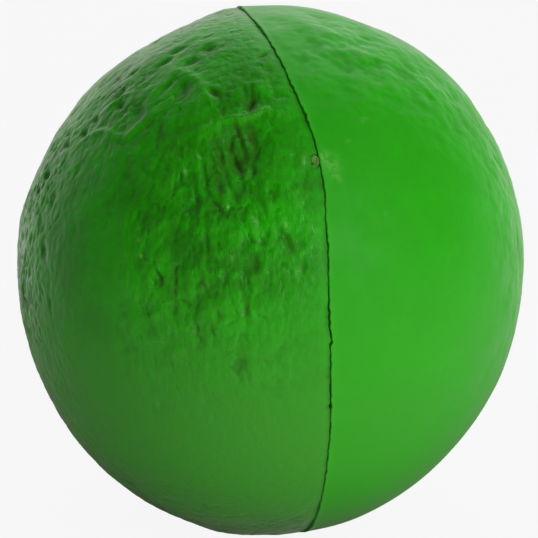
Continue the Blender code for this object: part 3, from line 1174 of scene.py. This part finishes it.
# %% Camera
AZIMUTH, ELEVATION = math.radians(-14.27), math.radians(24.62)
BACK = np.array((math.sin(AZIMUTH) * math.cos(ELEVATION),
                 -math.cos(AZIMUTH) * math.cos(ELEVATION), math.sin(ELEVATION)))
RIGHT = np.array((math.cos(AZIMUTH), math.sin(AZIMUTH), 0))
UP = np.cross(BACK, RIGHT)
DISTANCE = 1.0
SENSOR = 36.0
HEIGHT_IN_VIEW = 0.0692

camera = new_piece("camera", bpy.data.cameras.new("camera"))
bpy.context.scene.camera = camera
camera.data.sensor_width = SENSOR
camera.data.lens = SENSOR * DISTANCE / HEIGHT_IN_VIEW
camera.data.clip_start = 0.01
camera.data.dof.use_dof = False
aim = MIDDLE + (UP * 0.08 - RIGHT * 0.29) * MM
camera.location = aim + BACK * DISTANCE
camera.rotation_euler = Vector(BACK).to_track_quat("Z", "Y").to_euler()
print("lens", round(camera.data.lens, 1), "mm")

# %% [markdown]
# ## Floor and background
# The ball stands on a plain pale floor that runs into an equally pale background. What the camera
# sees glows evenly, with a faint shadow under the ball. What the ball sees is brighter at the right
# and behind, dark in its own shadow, and has a bright card behind the left that lights that rim.

# %% Floor
PALE = 0.94
FLOOR_SIZE = 3.0
FORWARDS = (-math.sin(AZIMUTH), math.cos(AZIMUTH), 0.0)
SHADOW_AT, CARD_AT = (0.0, 0.018, 0.0), (-0.055, 0.125, 0.0)
# where each change of brightness starts and ends (metres), and the brightness there
SIDEWAYS, BEHIND = (-0.10, 0.10, 0.46, 0.82), (-0.03, 0.10, 0.0, 0.27)
SHADOW, CARD = (0.03, 0.085, 0.03, 1.0), (0.03, 0.08, 0.8, 0.0)


def make_floor():
    corners = [(x * FLOOR_SIZE, y * FLOOR_SIZE, 0) for x, y in ((-1, -1), (1, -1), (1, 1), (-1, 1))]
    floor = new_piece("floor", new_mesh("floor", corners, [(0, 1, 2, 3)]))
    material, shader = new_material("Pale floor")
    tree = material.node_tree
    tree.nodes.remove(shader)
    where = put("ShaderNodeTexCoord")["Object"]

    def along(direction, change):
        return remap(vector("DOT_PRODUCT", where, direction), *change)

    def around(spot, change):
        return remap(vector("LENGTH", vector("SUBTRACT", where, spot)), *change)

    level = plus(along(tuple(RIGHT), SIDEWAYS), along(FORWARDS, BEHIND))
    level = plus(times(level, around(SHADOW_AT, SHADOW)), around(CARD_AT, CARD))
    seen = put("ShaderNodeLightPath")["Is Camera Ray"]
    glow = put("ShaderNodeEmission", {"Strength": PALE - 0.03})[0]
    bounce = put("ShaderNodeEmission", {"Strength": level})[0]
    mix = put("ShaderNodeMixShader", {0: seen, 1: bounce, 2: glow})[0]
    paper = put("ShaderNodeBsdfDiffuse", {"Color": (0.05, 0.05, 0.05)})[0]
    both = put("ShaderNodeAddShader", {0: mix, 1: paper})[0]
    fill(tree.nodes["Material Output"], {"Surface": both})
    floor.data.materials.append(material)


make_floor()

# %% [markdown]
# ## Light
# The key light is a big softbox at the front right, which lights the smooth half evenly. Weaker
# ones at the right, the upper right, the top and behind the top model the dents. The world glows
# behind the ball, most of all at the left, which gives the satin skin its pale rim.

# %% Softboxes
LAMP_DISTANCE, LAMP_SIZE = 1.2, 0.8
# its direction from the ball as the camera sees it (right, up, back), and watts
SOFTBOXES = (
    ("key", 0.56, 0.05, 0.84, 5.1),
    ("right", 0.85, -0.02, 0.50, 0.3),
    ("upper right", 0.50, 0.50, 0.70, 1.8),
    ("top", 0.15, 0.95, -0.25, 2.4),
    ("behind the top", 0.20, 0.75, -0.62, 1.7),
)
for name, right, up, back, watts in SOFTBOXES:
    direction = RIGHT * right + UP * up + BACK * back
    direction /= np.linalg.norm(direction)
    light = bpy.data.lights.new(name, "AREA")
    light.shape = "DISK"
    light.size = LAMP_SIZE
    light.energy = watts
    lamp = new_piece(name, light)
    lamp.location = MIDDLE + direction * LAMP_DISTANCE
    lamp.rotation_euler = Vector(direction).to_track_quat("Z", "Y").to_euler()
print("softboxes:", len(SOFTBOXES))

# %% World
# direction, how narrow, strength
GLOWS = (
    (-BACK, 3.0, 1.86),
    (RIGHT * 0.1 + UP * 0.85 - BACK * 0.5, 6.0, 0.36),
    (-RIGHT * 0.75 - BACK, 6.0, 1.7),
)


def make_world():
    world = bpy.data.worlds.new("studio")
    bpy.context.scene.world = world
    world.use_nodes = True
    world.node_tree.nodes.clear()
    OPENED.append(world.node_tree)
    where = put("ShaderNodeTexCoord")["Generated"]
    level = 0.0
    for direction, narrow, strength in GLOWS:
        direction = tuple(direction / np.linalg.norm(direction))
        facing = calc("MAXIMUM", vector("DOT_PRODUCT", where, direction), 0.0)
        level = plus(times(calc("POWER", facing, narrow), strength), level)
    seen = put("ShaderNodeLightPath")["Is Camera Ray"]
    around = put("ShaderNodeBackground", {"Color": (1, 1, 1), "Strength": level})[0]
    behind = put("ShaderNodeBackground", {"Color": (1, 1, 1), "Strength": PALE})[0]
    mix = put("ShaderNodeMixShader", {0: seen, 1: around, 2: behind})[0]
    put("ShaderNodeOutputWorld", {"Surface": mix})


make_world()
bpy.context.scene.view_settings.view_transform = "Standard"
print("glows:", len(GLOWS))
